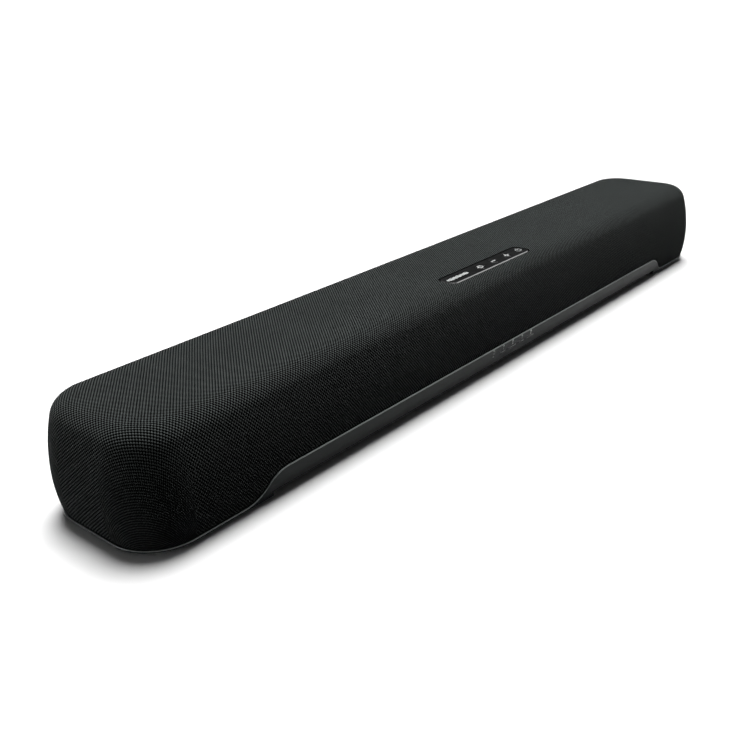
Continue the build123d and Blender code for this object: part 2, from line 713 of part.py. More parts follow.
def rear_plate():
    """The whole back panel, flush and chamfered, before it is divided."""
    plate = rear_block(
        REAR_LENGTH,
        REAR_Z - REAR_HEIGHT / 2,
        REAR_Z + REAR_HEIGHT / 2,
        REAR_FACE_Y - REAR_PLATE,
        REAR_FACE_Y,
        REAR_CORNER,
    )
    plate = chamfer(plate.edges().group_by(Axis.Y)[-1], 0.5)
    for x, z in REAR_SCREW_PLACES:
        plate -= along_y(REAR_SCREW_R + 0.2, REAR_SCREW_END_Y, DEPTH, x, z)
        plate -= along_y(REAR_SCREW_HEAD_R + 0.3, REAR_FACE_Y - REAR_SCREW_SUNK, DEPTH, x, z)
    return plate


def rear_panel(side):
    """One end of the back panel, with its keyhole. side is -1 for -X and 1 for +X."""
    near, far = sorted((side * (BAY_PANEL_HALF + 0.1), side * FAR))
    panel = rear_plate() & block(near, far, 0, FAR, 0, HEIGHT)
    return panel - keyhole(side * HOOK_X, REAR_FACE_Y - REAR_PLATE - 1, DEPTH)


def socket_panel():
    """Middle of the back: an open tray with the sockets looking out through its floor."""
    tray = rear_block(
        BAY_LENGTH + 2 * BAY_WALL,
        BAY_LOW_Z - BAY_WALL,
        BAY_HIGH_Z + BAY_WALL,
        BAY_FLOOR_Y - BAY_WALL,
        REAR_FACE_Y - REAR_PLATE,
        BAY_CORNER + BAY_WALL,
    )
    panel = tray + (rear_plate() & block(-BAY_PANEL_HALF, BAY_PANEL_HALF, 0, FAR, 0, HEIGHT))
    panel -= bay_room()
    through = (BAY_FLOOR_Y - BAY_WALL - 1, BAY_FLOOR_Y + 1)
    for x, half, z_low, z_high, corner in socket_outlines(0.15):
        panel -= rear_block(2 * half, z_low, z_high, *through, corner, x)
    return panel


def socket_outlines(gap):
    """(x, half width, low z, high z, corner) of every socket where it passes the floor of the bay."""
    z = BOARD_TOP_Z
    rows = [
        (INLET_X, INLET_HALF[0], INLET_Z - INLET_HALF[1], INLET_Z + INLET_HALF[1], 1.5),
        (HDMI_X, HDMI_HALF, z, z + HDMI_HEIGHT, 0.8),
        (AUX_X, AUX_HALF, z, z + AUX_HEIGHT, 0.8),
    ]
    rows += [(x, OPTICAL_HALF, z, z + OPTICAL_HEIGHT, 0.8) for x in OPTICAL_X.values()]
    return [(x, half + gap, low - gap, high + gap, corner) for x, half, low, high, corner in rows]


def pin_places():
    return (INLET_X - INLET_PITCH / 2, INLET_X + INLET_PITCH / 2)


def power_inlet():
    """Two-pole figure-eight mains inlet."""
    half_x, half_z = INLET_HALF
    body = rear_block(
        2 * half_x, INLET_Z - half_z, INLET_Z + half_z, INLET_BACK_Y, BAY_FLOOR_Y + 0.6, 1.5, INLET_X
    )
    for x in pin_places():
        body -= along_y(INLET_MOUTH_R, INLET_MOUTH_Y, DEPTH, x, INLET_Z)
    waist = INLET_MOUTH_R - 0.6
    return body - block(*pin_places(), INLET_MOUTH_Y, DEPTH, INLET_Z - waist, INLET_Z + waist)


def inlet_pins():
    tip = BAY_FLOOR_Y - 5.0
    return group(*[along_y(INLET_PIN_R, INLET_MOUTH_Y, tip, x, INLET_Z) for x in pin_places()])


def hdmi_socket():
    """Folded metal shell with a mouth that narrows below, and its contact tongue."""
    z = BOARD_TOP_Z
    shell = rear_block(2 * HDMI_HALF, z, z + HDMI_HEIGHT, SOCKET_BACK_Y, SOCKET_FACE_Y, 0.6, HDMI_X)
    mid = z + HDMI_HEIGHT / 2
    high, low, wide, narrow = mid + 2.3, mid - 2.3, 7.0, 5.6
    outline = Plane((HDMI_X, SOCKET_BACK_Y + 2, 0), x_dir=(-1, 0, 0), z_dir=(0, 1, 0))
    knee = mid - 0.6
    corners = [(-wide, high), (wide, high), (wide, knee), (narrow, low), (-narrow, low), (-wide, knee)]
    shell -= extrude(outline * Polygon(*corners, align=None), 30)
    tongue = block(HDMI_X - 5.2, HDMI_X + 5.2, SOCKET_BACK_Y + 2, SOCKET_FACE_Y - 2, mid - 0.5, mid + 0.5)
    return group(shell, tongue)


def optical_socket(x):
    """Square optical port with a lens post at its far end."""
    z = BOARD_TOP_Z
    body = rear_block(2 * OPTICAL_HALF, z, z + OPTICAL_HEIGHT, SOCKET_BACK_Y, SOCKET_FACE_Y, 0.6, x)
    mid = z + OPTICAL_HEIGHT / 2
    half = OPTICAL_PORT_HALF
    body -= block(x - half, x + half, SOCKET_BACK_Y + 4, DEPTH, mid - half, mid + half)
    body += along_y(1.2, SOCKET_BACK_Y + 4, SOCKET_BACK_Y + 7, x, mid)
    return body


def optical_shutter(x):
    """Spring door that closes the port and swings in from its top edge."""
    mid = BOARD_TOP_Z + OPTICAL_HEIGHT / 2
    face = SOCKET_FACE_Y - 0.8
    width, thick, height = SHUTTER
    door = block(x - width / 2, x + width / 2, face - thick, face, mid - height / 2, mid + height / 2)
    hinge = Pos(x, face - thick / 2, mid + height / 2 - thick / 2)
    roll = hinge * Rot(0, 90, 0) * Cylinder(thick / 2, width)
    corner = block(x - width, x + width, face - thick, face, mid + height / 2 - thick / 2, mid + height)
    return (door - corner) + roll


def aux_jack():
    z = BOARD_TOP_Z
    mid = z + AUX_HEIGHT / 2
    body = rear_block(2 * AUX_HALF, z, z + AUX_HEIGHT, SOCKET_BACK_Y, BAY_FLOOR_Y, 0.8, AUX_X)
    body += along_y(AUX_COLLAR_R, BAY_FLOOR_Y, SOCKET_FACE_Y + 0.4, AUX_X, mid)
    return body - along_y(AUX_R, SOCKET_BACK_Y + 1.4, DEPTH, AUX_X, mid)


def hook_plates():
    """Pressed steel cups behind the plastic keyholes, which carry the weight on a wall."""
    made = []
    face = REAR_FACE_Y - REAR_PLATE - HOOK_STEEL
    for x in (-HOOK_X, HOOK_X):
        room = hook_pocket(x, 0) & block(-FAR, FAR, 0, face, 0, HEIGHT)
        made.append(hook_pocket(x, HOOK_STEEL) - room - keyhole(x, face - 1, DEPTH))
    return group(*made)


# ---------------------------------------------------------------- electronics
def boards():
    top, low = BOARD_TOP_Z, BOARD_TOP_Z - BOARD_THICK
    main = block(-38, 68, -30, BOARD_REAR_Y, low, top)
    power = block(-145, -42, -34, 7.5, POWER_BOARD_LOW_Z, POWER_TOP_Z)
    chips = [
        block(-20, -6, -20, -6, top, top + 1.2),
        block(10, 20, -16, -6, top, top + 1.0),
        block(28, 34, 0, 8, top, top + 1.0),
        block(-30, -24, -2, 6, top, top + 1.0),
        block(-36, -22, -28, -12, top, top + 2.5),
    ]
    fins = block(34, 58, -26, -6, top + 1.2, top + 3.2)
    fins += block(34, 58, -26, -6, top, top + 1.2)
    for i in range(5):
        x = 34 + 5.6 * i
        fins += block(x, x + 1.6, -26, -6, top + 3.2, top + 13)
    transformer = block(-130, -104, -20, 2, POWER_TOP_Z, POWER_TOP_Z + 18)
    transformer += block(-133, -101, -16, -2, POWER_TOP_Z + 4, POWER_TOP_Z + 14)
    cans = ((8.0, 22, -86, -18), (5.0, 16, -68, -22), (5.0, 16, -68, -8))
    capacitors = [post(radius, POWER_TOP_Z, POWER_TOP_Z + tall, x, y) for radius, tall, x, y in cans]
    return {
        "main_board": main,
        "main_board_chips": group(*chips),
        "amplifier_heat_sink": fins,
        "power_board": power,
        "power_transformer": transformer,
        "power_capacitors": group(*capacitors),
    }


def board_screws():
    return group(*[post(BOARD_SCREW_R, top, top + 1.4, x, y) for x, y, top in BOARD_FIXINGS])


def ribbon_cable():
    """Flat cable from the control board down to the main board."""
    top, low = CONTROL_BOARD_Z, BOARD_TOP_Z
    y_top, y_low = -22.0, -24.0
    end = RIBBON_THICK / 2
    bends = ((y_top, top - end), (y_top, 44), (y_low + 12, 34), (y_low, low + 9), (y_low, low + end))
    with BuildSketch(Plane.YZ) as strip:
        with BuildLine():
            run = FilletPolyline(*bends, radius=5)
            offset(run, RIBBON_THICK / 2, side=Side.BOTH)
        make_face()
    return Pos(RIBBON_X, 0, 0) * extrude(strip.sketch, RIBBON_HALF, both=True)


def base_screws():
    made = []
    for x, y in BASE_SCREWS:
        body = post(SCREW_BODY_R, BASE_WELL_Z, POST_TOP_Z + 12, x, y)
        made.append(body + post(BASE_HEAD_R, BASE_WELL_Z - 1.8, BASE_WELL_Z, x, y))
    return group(*made)


def rear_screws():
    made = []
    for x, z in REAR_SCREW_PLACES:
        seat = REAR_FACE_Y - REAR_SCREW_SUNK
        body = along_y(REAR_SCREW_R, REAR_SCREW_END_Y, seat, x, z)
        made.append(body + along_y(REAR_SCREW_HEAD_R, seat, REAR_FACE_Y - 0.1, x, z))
    return group(*made)


def rubber_feet():
    feet = []
    for x in (-FOOT_X, FOOT_X):
        for y in (-FOOT_Y, FOOT_Y):
            foot = post(FOOT_R - 0.1, 0, FLOOR_Z + 1.0, x, y)
            feet.append(chamfer(foot.edges().group_by(Axis.Z)[0], 0.5))
    return group(*feet)


# ---------------------------------------------------------------- build
def build():
    edge = below_cloth_edge()
    nodes = {
        "fabric_cover": fabric_cover(loaf(0.0, 0.6), edge),
        "upper_cabinet": upper_cabinet(edge),
        "lower_cabinet": lower_cabinet(edge),
        "cabinet_seal": cabinet_seal(),
        "control_panel": control_panel(),
        "control_board": control_board(),
        "key_switches": key_switches(),
        "left_rear_panel": rear_panel(-1),
        "right_rear_panel": rear_panel(1),
        "socket_panel": socket_panel(),
        "rear_screws": rear_screws(),
        "wall_hook_plates": hook_plates(),
        "power_inlet": group(power_inlet(), inlet_pins()),
        "hdmi_socket": hdmi_socket(),
        "aux_jack": aux_jack(),
        "ribbon_cable": ribbon_cable(),
        "base_screws": base_screws(),
        "rubber_feet": rubber_feet(),
    }
    for name, x in zip(KEY_NAMES, KEY_X):
        nodes[name] = key_cap(x)
    for side, x in OPTICAL_X.items():
        nodes["optical_socket_" + side] = optical_socket(x)
        nodes["optical_shutter_" + side] = optical_shutter(x)
    nodes.update(indicator_parts())
    nodes.update(boards())
    nodes["board_screws"] = board_screws()
    nodes.update(loudspeakers())
    return nodes


os.makedirs("parts", exist_ok=True)
for node_name, shape in build().items():
    export_step(shape, os.path.join("parts", node_name + ".step"))
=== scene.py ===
"""Looks for the compact soundbar.

A stretched knit cover, satin plastics, printed marks, the studio and the camera. Lengths are metres.
"""

import bpy
import bmesh
import json
import math
import numpy as np
from mathutils import Matrix, Vector


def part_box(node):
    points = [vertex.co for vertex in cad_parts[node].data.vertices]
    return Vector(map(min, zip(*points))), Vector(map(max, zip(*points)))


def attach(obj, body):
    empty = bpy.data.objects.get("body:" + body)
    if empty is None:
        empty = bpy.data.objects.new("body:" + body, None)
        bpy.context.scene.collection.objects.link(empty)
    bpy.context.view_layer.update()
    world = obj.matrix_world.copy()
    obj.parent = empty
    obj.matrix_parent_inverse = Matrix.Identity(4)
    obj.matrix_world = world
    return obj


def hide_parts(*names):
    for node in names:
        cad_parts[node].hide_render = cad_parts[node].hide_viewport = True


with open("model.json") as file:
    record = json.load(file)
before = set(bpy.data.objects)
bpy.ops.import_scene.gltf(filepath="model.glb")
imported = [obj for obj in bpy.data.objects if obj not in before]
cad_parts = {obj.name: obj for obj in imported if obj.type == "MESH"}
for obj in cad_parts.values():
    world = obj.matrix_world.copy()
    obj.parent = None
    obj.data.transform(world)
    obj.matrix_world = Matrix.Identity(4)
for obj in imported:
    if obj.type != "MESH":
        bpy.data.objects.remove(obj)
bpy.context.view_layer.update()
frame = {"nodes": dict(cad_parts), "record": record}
MM = 0.001
SEED_OFFSET = Vector((0.31, 0.17, 0.53))  # keeps each noise field away from its origin


def node_box(name):
    low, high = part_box(name)
    return Vector(low), Vector(high)


BODIES = frame["record"]["behaviour"]["bodies"]
BODY_OF = {node: body for body, nodes in BODIES.items() for node in nodes}
HOUSING_BODY = BODY_OF["fabric_cover"]

# ---------------------------------------------------------------- sizes, from the frame where it has them
COVER_LOW, COVER_HIGH = node_box("fabric_cover")
PANEL_LOW, PANEL_HIGH = node_box("control_panel")
REAR_LOW, REAR_HIGH = node_box("left_rear_panel")[0], node_box("right_rear_panel")[1]
HALF_X, HALF_Y, TOP_Z = COVER_HIGH.x, COVER_HIGH.y, COVER_HIGH.z
RIM_Z = COVER_LOW.z

# edge profile of the loaf, the same as the cabinet's
CORNER = 30 * MM
WIDEST_Z = 24 * MM
LOWER_SWEEP_R = 80 * MM
WALL_R = 110 * MM
SHOULDER_R = 12 * MM
CROWN_R = 65 * MM
CROWN_RUN = 23 * MM
FLAT_R = CORNER - CROWN_RUN
ARC_STEPS = 80

# cloth's lower edge along the front
STRIP_Z = 16.2 * MM
STRIP_HALF = 210 * MM
STRIP_RUN = 29 * MM
STRIP_PROUD = 0.35 * MM
FACES_FRONT = -0.999  # an outward direction with y below this points straight to the front

# rounded upper edge of the plastic base
LIP_R = 0.45 * MM
LIP_OUT = 0.08 * MM
LIP_DROP = 0.30 * MM
LIP_SIDES = 10

CLOTH_THICK = 0.8 * MM
TUCK = 0.85 * MM  # how far the cloth draws in where it meets the plastic
TUCK_REACH = 3.0 * MM
COLUMN_STEP = 2.5 * MM
ROWS = 54
CORNER_STEPS = 20
WINDOW_GAP = {"rear": 0.4 * MM, "panel": 0.6 * MM}
WINDOW_DEPTH = {"rear": 12 * MM, "panel": 4 * MM}
WINDOW_PROUD = 5 * MM
REAR_CORNER = 8 * MM
PANEL_CORNER = 4.0 * MM

# knit: holes lie in staggered rows, with their pitch in the cloth layer's millimetres
HOLE_PITCH_ALONG = 1.82
HOLE_PITCH_ACROSS = 2.22
HOLE_START = -0.45  # lattice values where the painted shade around a hole's rim begins and where the hole is fully dark
HOLE_FULL = 0.25
KNIT_COLOR = (0.054, 0.062, 0.060)
# painted shade: the holes' near-black is the dark cabinet behind the cloth, deepened by shade inside each
# opening and around its rim
HOLE_SHADE_COLOR = (0.0012, 0.0013, 0.0013)
CLOTH_SPECULAR = 0.12
CLOTH_SHEEN = 0.08

# printed marks, with lines and places in millimetres
INK_HEIGHT = 0.04 * MM
INK_SINK = 0.01 * MM
SYMBOL_LINE = 0.6
LENS_PITCH = 11.3
BLOB_Z = 12.9
BLOB_HALF_HEIGHT = 0.45
BLOB_WIDTH = 1.1
DASH_Z = 10.7
DASH_WIDTH = 0.8

# camera, in millimetres and degrees
CAMERA = {
    "target": (-94.34, 0.0, 16.998),
    "distance": 569.83,
    "yaw": -48.245,
    "pitch": 23.493,
    "roll": -2.542,
}
FOCAL = 44.575
SENSOR = 36.0

# studio: each sun is its direction, its softness in degrees and its strength
FLOOR_SIZE = 200.0
BACKDROP = 1.2
FILL = 0.04
GLOW = 1.2
GLOW_FROM, GLOW_FULL = 0.5, 0.8  # heights of direction where the overhead glow starts and is full
KEY_SUN = ((0.30, 0.17, 1.0), 34, 5.0)
SIDE_SUN = ((-1.0, 0.6, 0.08), 20, 0.8)
EDGE_CARD = {"toward": (0.684, -0.399, 0.611), "away": 1.2, "size": 0.6, "power": 7.0}


# ---------------------------------------------------------------- the loaf's surface
def edge_table():
    """The edge profile from the flat top outward: arrays of arc length, run in from the side, height."""
    crown = Vector((CROWN_RUN, TOP_Z - CROWN_R))
    wall = Vector((WALL_R, WIDEST_Z))
    to_crown, to_wall = CROWN_R - SHOULDER_R, WALL_R - SHOULDER_R
    apart = (wall - crown).length
    along = (to_crown**2 - to_wall**2 + apart**2) / (2 * apart)
    aside = math.sqrt(to_crown**2 - along**2)
    unit = (wall - crown) / apart
    shoulder = crown + unit * along + Vector((-unit.y, unit.x)) * aside
    sweep = Vector((LOWER_SWEEP_R, WIDEST_Z))
    to_top = (shoulder - crown).angle(Vector((0, 1)))
    leaning = (shoulder - wall).angle(Vector((-1, 0)))
    quarter = math.pi / 2
    sweep_turn = math.asin((WIDEST_Z - RIM_Z + MM) / LOWER_SWEEP_R)
    arcs = (
        (crown, CROWN_R, quarter, quarter + to_top),
        (shoulder, SHOULDER_R, quarter + to_top, math.pi - leaning),
        (wall, WALL_R, math.pi - leaning, math.pi),
        (sweep, LOWER_SWEEP_R, math.pi, math.pi + sweep_turn),
    )
    points = []
    for centre, radius, start, end in arcs:
        for angle in np.linspace(start, end, ARC_STEPS):
            points.append((centre.x + radius * math.cos(angle), centre.y + radius * math.sin(angle)))
    points = np.array(points)
    steps = np.linalg.norm(np.diff(points, axis=0), axis=1)
    return np.concatenate([[0.0], np.cumsum(steps)]), points[:, 0], points[:, 1]


ARC, RUN_IN, HEIGHT = edge_table()


def rim_height(x, front):
    """Height of the cloth's lower edge."""
    if not front:
        return RIM_Z
    rise = STRIP_Z - RIM_Z
    radius = (STRIP_RUN**2 + rise**2) / (4 * rise)
    past = abs(x) - STRIP_HALF
    if past <= 0:
        return STRIP_Z
    if past >= STRIP_RUN:
        return RIM_Z
    if past < STRIP_RUN / 2:
        return STRIP_Z - radius + math.sqrt(radius**2 - past**2)
    return RIM_Z + radius - math.sqrt(radius**2 - (STRIP_RUN - past) ** 2)


def smooth(t):
    t = min(max(t, 0.0), 1.0)
    return t * t * (3 - 2 * t)


def plan_columns():
    """Round the bar: (core corner or edge point x, y, outward direction) for each column of the cover."""
    core_x, core_y = HALF_X - CORNER, HALF_Y - CORNER
    along = np.linspace(-core_x, core_x, int(round(2 * core_x / COLUMN_STEP)) + 1)
    across = np.linspace(-core_y, core_y, int(round(2 * core_y / COLUMN_STEP)) + 1)
    sides = (
        [(x, -core_y, -math.pi / 2) for x in along],
        [(core_x, y, 0.0) for y in across],
        [(x, core_y, math.pi / 2) for x in along[::-1]],
        [(-core_x, y, math.pi) for y in across[::-1]],
    )
    columns = []
    for side in sides:
        columns += side
        x, y, start = side[-1]
        columns += [(x, y, start + math.pi / 2 * k / CORNER_STEPS) for k in range(1, CORNER_STEPS)]
    return along, across, columns


def cover_grid():
    """Vertices, faces and flat cloth coordinates of the cover's outer surface."""
    along, across, columns = plan_columns()
    verts, flat, faces = [], [], []

    def add(point, cloth):
        verts.append(point)
        flat.append(cloth)
        return len(verts) - 1

    core = {}
    for i, x in enumerate(along):
        for j, y in enumerate(across):
            core[round(x, 6), round(y, 6)] = add((x, y, TOP_Z), (x, y))
    for i in range(len(along) - 1):
        for j in range(len(across) - 1):
            cell = [(i, j), (i + 1, j), (i + 1, j + 1), (i, j + 1)]
            faces.append([core[round(along[a], 6), round(across[b], 6)] for a, b in cell])

    inner_rows = 3
    strips = []
    for x, y, angle in columns:
        nx, ny = math.cos(angle), math.sin(angle)
        strip = [core[round(x, 6), round(y, 6)]]
        for k in range(1, inner_rows + 1):
            r = FLAT_R * k / inner_rows
            strip.append(add((x + nx * r, y + ny * r, TOP_Z), (x + nx * r, y + ny * r)))
        rim = rim_height(x, ny < FACES_FRONT)
        rim_arc = float(np.interp(-rim, -HEIGHT, ARC))
        for k in range(1, ROWS + 1):
            s = rim_arc * k / ROWS
            inward = float(np.interp(s, ARC, RUN_IN)) + TUCK * smooth(1 - (rim_arc - s) / TUCK_REACH)
            z = float(np.interp(s, ARC, HEIGHT))
            r, cloth_r = CORNER - inward, FLAT_R + s
            strip.append(add((x + nx * r, y + ny * r, z), (x + nx * cloth_r, y + ny * cloth_r)))
        strips.append(strip)
    for a, b in zip(strips, strips[1:] + strips[:1]):
        for k in range(len(a) - 1):
            face = [a[k], a[k + 1], b[k + 1], b[k]]
            faces.append(face if a[k] != b[k] else [a[k], a[k + 1], b[k + 1]])
    return verts, faces, flat


def new_mesh_object(name, verts, faces):
    mesh = bpy.data.meshes.new(name)
    mesh.from_pydata([tuple(v) for v in verts], [], faces)
    mesh.validate()
    piece = bpy.data.objects.new(name, mesh)
    bpy.context.collection.objects.link(piece)
    return piece


def turn_faces_outward(piece):
    work = bmesh.new()
    work.from_mesh(piece.data)
    bmesh.ops.recalc_face_normals(work, faces=work.faces)
    work.to_mesh(piece.data)
    work.free()


def apply_modifiers(piece):
    """Makes the modified shape the piece's own mesh."""
    depsgraph = bpy.context.evaluated_depsgraph_get()
    shaped = bpy.data.meshes.new_from_object(piece.evaluated_get(depsgraph), depsgraph=depsgraph)
    piece.modifiers.clear()
    piece.data = shaped


def rounded_outline(half_a, half_b, corner, steps=10):
    points = []
    for turn, sa, sb in ((0, 1, 1), (1, -1, 1), (2, -1, -1), (3, 1, -1)):
        for k in range(steps + 1):
            angle = math.pi / 2 * (turn + k / steps)
            a = sa * (half_a - corner) + corner * math.cos(angle)
            b = sb * (half_b - corner) + corner * math.sin(angle)
            points.append((a, b))
    return points


def prism(name, outline, place, low, high):
    """A straight block over an outline. place(a, b, h) gives the point."""
    count = len(outline)
    verts = [place(a, b, low) for a, b in outline] + [place(a, b, high) for a, b in outline]
    faces = [list(range(count))[::-1], list(range(count, 2 * count))]
    faces += [[i, (i + 1) % count, count + (i + 1) % count, count + i] for i in range(count)]
    piece = new_mesh_object(name, verts, faces)
    turn_faces_outward(piece)
    return piece


def cut(piece, cutter):
    modifier = piece.modifiers.new("cut", "BOOLEAN")
    modifier.operation = "DIFFERENCE"
    modifier.solver = "EXACT"
    modifier.object = cutter
    apply_modifiers(piece)
    bpy.data.objects.remove(cutter)


def shade(piece, angle=35):
    """Smooth shading, with every edge sharper than the angle left hard."""
    piece.data.shade_smooth()
    work = bmesh.new()
    work.from_mesh(piece.data)
    for edge in work.edges:
        edge.smooth = edge.is_manifold and edge.calc_face_angle(0) < math.radians(angle)
    work.to_mesh(piece.data)
    work.free()


def cut_window(cover, name, low, high, across, corner, surface):
    """Cuts the opening that shows a panel. across is the window's other axis, beside X."""
    gap = WINDOW_GAP[name]
    middle, half = (low + high) / 2, (high - low) / 2
    if across == "z":
        half_b = half.z
        place = lambda a, b, h: (middle.x + a, h, middle.z + b)
    else:
        half_b = half.y
        place = lambda a, b, h: (middle.x + a, middle.y + b, h)
    outline = rounded_outline(half.x + gap, half_b + gap, corner + gap)
    near, far = surface - WINDOW_DEPTH[name], surface + WINDOW_PROUD
    cut(cover, prism(name + "_cutter", outline, place, near, far))


def fabric_cover():
    verts, faces, flat = cover_grid()
    cover = new_mesh_object("knit_cover", verts, faces)
    layer = cover.data.uv_layers.new(name="cloth")
    for loop in cover.data.loops:
        u, v = flat[loop.vertex_index]
        layer.data[loop.index].uv = (u / MM, v / MM)
    fix = bmesh.new()
    fix.from_mesh(cover.data)
    bmesh.ops.recalc_face_normals(fix, faces=fix.faces)
    if max(fix.faces, key=lambda f: f.calc_center_median().z).normal.z < 0:
        bmesh.ops.reverse_faces(fix, faces=fix.faces)
    fix.to_mesh(cover.data)
    fix.free()
    thick = cover.modifiers.new("thick", "SOLIDIFY")
    thick.thickness = CLOTH_THICK
    thick.offset = -1
    apply_modifiers(cover)
    cut_window(cover, "rear", REAR_LOW, REAR_HIGH, "z", REAR_CORNER, HALF_Y)
    cut_window(cover, "panel", PANEL_LOW, PANEL_HIGH, "y", PANEL_CORNER, TOP_Z)
    shade(cover)
    return cover


def lip_bead():
    """The rounded upper edge of the plastic base, where it stands out from under the cloth."""
    _, _, columns = plan_columns()
    verts, faces = [], []
    for x, y, angle in columns:
        nx, ny = math.cos(angle), math.sin(angle)
        rim = rim_height(x, ny < FACES_FRONT)
        inward = float(np.interp(-rim, -HEIGHT, RUN_IN))
        r = CORNER - inward + STRIP_PROUD - LIP_R + LIP_OUT
        for k in range(LIP_SIDES):
            turn = math.tau * k / LIP_SIDES
            out, up = r + LIP_R * math.cos(turn), rim - LIP_DROP + LIP_R * math.sin(turn)
            verts.append((x + nx * out, y + ny * out, up))
    rings = len(columns)
    for i in range(rings):
        for k in range(LIP_SIDES):
            a, b = i * LIP_SIDES, (i + 1) % rings * LIP_SIDES
            after = (k + 1) % LIP_SIDES
            faces.append([a + k, b + k, b + after, a + after])
    bead = new_mesh_object("base_lip", verts, faces)
    turn_faces_outward(bead)
    shade(bead, 60)
    return bead


# ---------------------------------------------------------------- materials
class Nodes:
    """A short way to wire a node tree."""

    def __init__(self, name):
        self.material = bpy.data.materials.new(name)
        self.material.use_nodes = True
        self.tree = self.material.node_tree
        self.shader = next(n for n in self.tree.nodes if n.type == "BSDF_PRINCIPLED")
        self.position = self.add("ShaderNodeTexCoord").outputs["Object"]

    def add(self, kind, **settings):
        node = self.tree.nodes.new(kind)
        for key, value in settings.items():
            setattr(node, key, value)
        return node

    def link(self, source, target):
        self.tree.links.new(source, target)

    def put(self, target, value):
        if isinstance(value, bpy.types.NodeSocket):
            self.link(value, target)
        else:
            target.default_value = value

    def math(self, operation, a, b=0.0):
        node = self.add("ShaderNodeMath", operation=operation)
        for socket, value in zip(node.inputs, (a, b)):
            self.put(socket, value)
        return node.outputs[0]

    def noise(self, scale, detail=3.0, rough=0.5, stretch=(1, 1, 1)):
        place = self.add("ShaderNodeMapping")
        place.inputs["Scale"].default_value = stretch
        place.inputs["Location"].default_value = SEED_OFFSET
        self.link(self.position, place.inputs["Vector"])
        node = self.add("ShaderNodeTexNoise")
        node.inputs["Scale"].default_value = scale
        node.inputs["Detail"].default_value = detail
        node.inputs["Roughness"].default_value = rough
        self.link(place.outputs[0], node.inputs["Vector"])
        return node.outputs["Fac"]

    def span(self, value, low, high, new_low, new_high, kind="LINEAR"):
        node = self.add("ShaderNodeMapRange", interpolation_type=kind)
        for socket, setting in zip(node.inputs, (value, low, high, new_low, new_high)):
            self.put(socket, setting)
        return node.outputs[0]

    def blend(self, factor, first, second):
        node = self.add("ShaderNodeMix", data_type="RGBA")
        self.put(node.inputs[0], factor)
        self.put(node.inputs[6], first)
        self.put(node.inputs[7], second)
        return node.outputs[2]

    def bump(self, height, distance, strength=1.0, under=None):
        node = self.add("ShaderNodeBump")
        node.inputs["Distance"].default_value = distance
        node.inputs["Strength"].default_value = strength
        self.link(height, node.inputs["Height"])
        if under is not None:
            self.link(under, node.inputs["Normal"])
        return node.outputs[0]

    def set(self, **values):
        names = {
            "color": "Base Color",
            "metal": "Metallic",
            "rough": "Roughness",
            "normal": "Normal",
            "specular": "Specular IOR Level",
            "sheen": "Sheen Weight",
            "sheen_rough": "Sheen Roughness",
            "coat": "Coat Weight",
            "coat_rough": "Coat Roughness",
        }
        for key, value in values.items():
            self.put(self.shader.inputs[names[key]], value)
        return self.material


def rgb(red, green, blue):
    return (red, green, blue, 1.0)


def knit_material():
    """Warp knit: staggered holes between twisted yarns, in the cloth's own flat coordinates, with painted
    shade in and around the holes.
    """
    n = Nodes("knit")
    split = n.add("ShaderNodeSeparateXYZ")
    n.link(n.add("ShaderNodeUVMap", uv_map="cloth").outputs[0], split.inputs[0])
    u = n.math("MULTIPLY", split.outputs[0], math.tau / HOLE_PITCH_ALONG)
    v = n.math("MULTIPLY", split.outputs[1], math.tau / HOLE_PITCH_ACROSS)
    wander = n.math("MULTIPLY", n.math("SUBTRACT", n.noise(160.0, 1.0), 0.5), 0.35)
    u = n.math("ADD", u, wander)
    v = n.math("SUBTRACT", v, wander)
    lattice = n.math("MULTIPLY", n.math("COSINE", u), n.math("COSINE", v))
    # this mask marks the openings and the painted shade around their rims; it darkens the colour, sinks
    # the bump and dulls the shine
    hole_and_shade = n.span(lattice, HOLE_START, HOLE_FULL, 0.0, 1.0, "SMOOTHSTEP")
    yarn = n.span(n.noise(900.0, 2.0, 0.6), 0.3, 0.7, 0.75, 1.25)
    patch = n.span(n.noise(30.0, 3.0), 0.3, 0.7, 0.92, 1.08)
    level = n.math("MULTIPLY", yarn, patch)
    lit = n.add("ShaderNodeCombineColor")
    for socket, amount in zip(lit.inputs, KNIT_COLOR):
        n.link(n.math("MULTIPLY", level, amount), socket)
    # painted shade: each opening and its rim go near-black, darker than the cabinet plastic behind the
    # cloth
    color = n.blend(hole_and_shade, lit.outputs[0], rgb(*HOLE_SHADE_COLOR))
    height = n.math("SUBTRACT", n.math("MULTIPLY", lattice, -0.5), n.math("MULTIPLY", hole_and_shade, 0.7))
    coarse = n.bump(height, 0.35 * MM, 1.0)
    fine = n.bump(n.noise(2600.0, 2.0), 0.06 * MM, 0.5, coarse)
    shine = n.span(hole_and_shade, 0.0, 1.0, CLOTH_SPECULAR, 0.0)
    fuzz = n.span(hole_and_shade, 0.0, 1.0, CLOTH_SHEEN, 0.0)
    return n.set(color=color, rough=0.8, specular=shine, normal=fine, sheen=fuzz, sheen_rough=0.5)


def plastic(name, color, rough, grain=1800.0, grain_height=0.02 * MM, specular=0.5, round_edge=0.0):
    """Moulded plastic: spark-eroded grain, faint tone drift and uneven gloss."""
    n = Nodes(name)
    drift = 0.08
    tone = n.span(n.noise(9.0, 2.0), 0.3, 0.7, 0.0, 1.0)
    darker = rgb(*[c * (1 - drift) for c in color])
    lighter = rgb(*[min(1.0, c * (1 + drift)) for c in color])
    gloss = n.span(n.noise(60.0, 4.0), 0.3, 0.7, rough - 0.04, rough + 0.04)
    edge = None
    if round_edge:
        rounded = n.add("ShaderNodeBevel", samples=6)
        rounded.inputs["Radius"].default_value = round_edge
        edge = rounded.outputs[0]
    normal = n.bump(n.noise(grain, 2.0), grain_height, 0.5, edge)
    return n.set(color=n.blend(tone, darker, lighter), rough=gloss, normal=normal, specular=specular)


